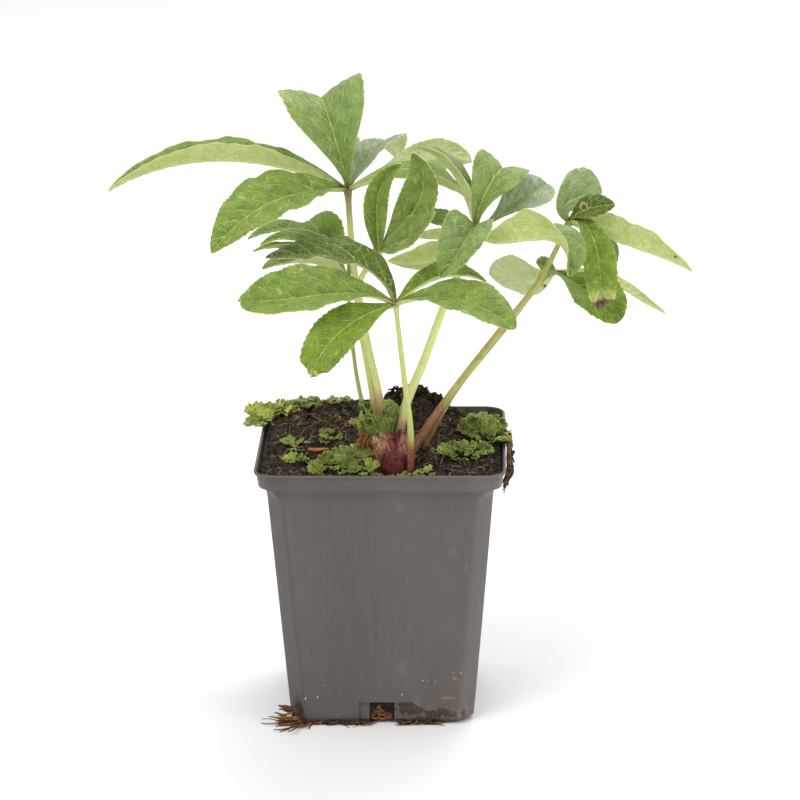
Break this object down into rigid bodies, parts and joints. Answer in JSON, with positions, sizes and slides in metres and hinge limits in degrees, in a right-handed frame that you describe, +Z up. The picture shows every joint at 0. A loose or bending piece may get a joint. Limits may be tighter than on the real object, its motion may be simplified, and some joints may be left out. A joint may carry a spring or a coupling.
{
  "type": "potted hellebore plant",
  "caption": "Young hellebore with divided leathery leaves on arching stalks from a red crown, in peat with liverwort, in a square plastic nursery pot.",
  "frame": {"origin": "centre of the pot's flat base, on the surface it stands on", "axes": "+Z up through the plant, -Y towards the side the picture shows, +X to the viewer's right, square to the pot's sides"},
  "size_m": [0.2094, 0.1294, 0.232],
  "materials": {
    "pot_plastic": "satin taupe-grey injection-moulded plastic with dust specks",
    "peat": "damp crumbly peat compost",
    "crown_scales": "smooth fleshy bud scales, wine red to tan",
    "leaf_stalk": "smooth fleshy stalk, yellow-green",
    "leaf": "leathery, satin above and matt pale green below, net of pale veins",
    "liverwort": "damp lobed thallus with ruffled edges",
    "bark": "orange-brown splinter of bark",
    "root": "fibrous dry root"
  },
  "bodies": {
    "root": {"pot": "pot_plastic", "soil": "peat", "crown": "crown_scales", "stalk_tall": "leaf_stalk", "blade_tall": "leaf", "stalk_front": "leaf_stalk", "blade_front": "leaf", "stalk_back": "leaf_stalk", "blade_back": "leaf", "stalk_middle": "leaf_stalk", "blade_middle": "leaf", "stalk_right": "leaf_stalk", "blade_right": "leaf", "stalk_inner": "leaf_stalk", "blade_inner": "leaf", "stalk_low": "leaf_stalk", "blade_low": "leaf", "liverwort_1": "liverwort", "liverwort_2": "liverwort", "liverwort_3": "liverwort", "liverwort_4": "liverwort", "liverwort_5": "liverwort", "liverwort_6": "liverwort", "liverwort_7": "liverwort", "liverwort_8": "liverwort", "liverwort_9": "liverwort", "liverwort_10": "liverwort", "liverwort_collar": "liverwort", "bark_stick": "bark", "root_tuft": "root", "soil_spill": "peat"}
  },
  "joints": []
}
